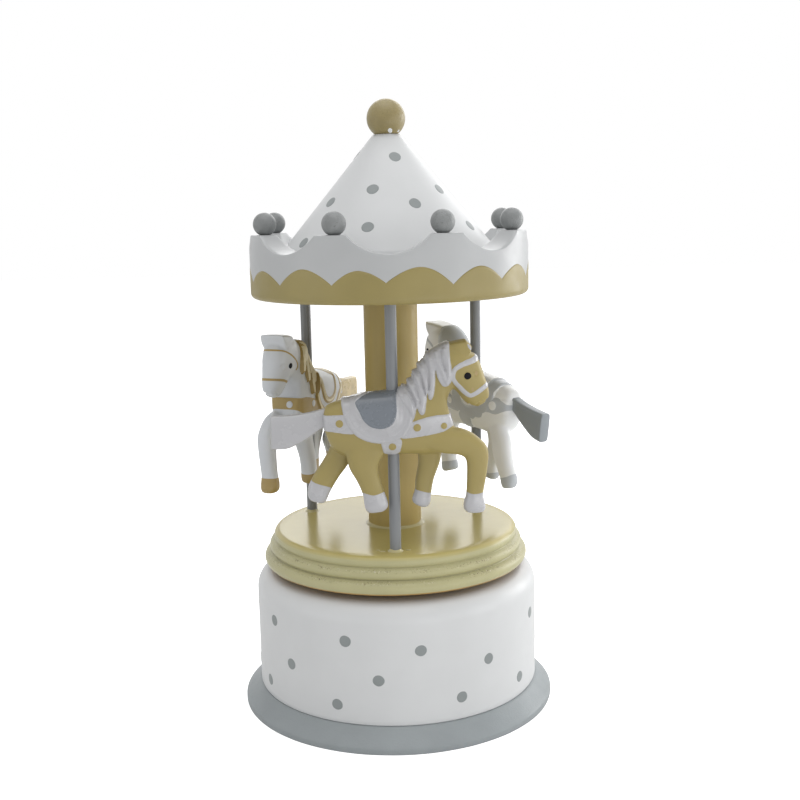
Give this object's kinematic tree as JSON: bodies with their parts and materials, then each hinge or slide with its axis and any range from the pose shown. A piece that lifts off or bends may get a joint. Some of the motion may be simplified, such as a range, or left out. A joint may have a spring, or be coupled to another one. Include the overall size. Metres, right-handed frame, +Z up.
{
  "type": "wind-up music box",
  "caption": "Wooden carousel music box: a turntable with horses on poles under a scalloped canopy turns on a round base that holds the spring movement.",
  "frame": {"origin": "middle of the plinth's underside, on the turntable's axis", "axes": "+Z up along the turntable's axis, -Y towards the front horse, +X to the viewer's right"},
  "size_m": [0.118, 0.118, 0.2237],
  "materials": {
    "white_paint": "satin paint on wood",
    "grey_paint": "satin paint on wood",
    "tan_paint": "satin paint on wood",
    "cream_paint": "gloss paint on fibreboard",
    "ochre_paint": "satin paint on wood",
    "column_paint": "gloss paint on wood",
    "black_paint": "gloss paint on wood",
    "plywood": "bare plywood",
    "steel": "zinc plated",
    "spring_steel": "blued",
    "brass": "turned"
  },
  "bodies": {
    "base": {"plinth": "grey_paint", "base_drum": "white_paint", "bottom_cover": "plywood", "cover_screws": "steel", "turntable_bush": "brass", "bedplate": "brass", "movement_screws": "steel", "spring_housing": "steel", "mainspring": "spring_steel", "comb": "spring_steel", "comb_screws": "steel", "governor_frame": "steel"},
    "carousel": {"winding_arbor": "steel", "crown_wheel": "brass", "drive_hub": "steel", "hub_screws": "steel", "platform": "cream_paint", "column": "column_paint", "pole_front": "grey_paint", "pole_right": "grey_paint", "pole_left": "grey_paint", "horse_front": "tan_paint", "horse_right": "white_paint", "horse_left": "white_paint", "tail_front": "white_paint", "tail_right": "grey_paint", "tail_left": "ochre_paint", "canopy": "white_paint", "roof_cone": "white_paint", "roof_beads": "grey_paint", "finial": "tan_paint"},
    "cylinder": {"pinned_cylinder": "brass", "cylinder_arbor": "steel", "cylinder_pinion": "brass", "cylinder_gear": "brass"},
    "governor_wheel": {"governor_wheel": "brass"},
    "fan": {"fan": "brass"}
  },
  "joints": [
    {"name": "carousel_spin", "type": "hinge", "parent": "base", "child": "carousel", "pos_m": [0, 0, 0.0475], "axis": [0, 0, 1], "range_deg": [0, 1260]},
    {"name": "cylinder_spin", "type": "hinge", "parent": "base", "child": "cylinder", "pos_m": [0.02, 0, 0.0345], "axis": [1, 0, 0], "range_deg": [0, 3780]},
    {"name": "governor_spin", "type": "hinge", "parent": "base", "child": "governor_wheel", "pos_m": [0.0352, -0.00742, 0.0315], "axis": [1, 0, 0], "range_deg": [-11340, 0]},
    {"name": "fan_spin", "type": "hinge", "parent": "base", "child": "fan", "pos_m": [0.0352, -0.01272, 0.0315], "axis": [0, 0, 1], "range_deg": [-226800, 0]}
  ],
  "couplings": [
    {"joint": "cylinder_spin", "follows": "carousel_spin", "ratio": 3},
    {"joint": "governor_spin", "follows": "carousel_spin", "ratio": -9},
    {"joint": "fan_spin", "follows": "carousel_spin", "ratio": -180}
  ]
}
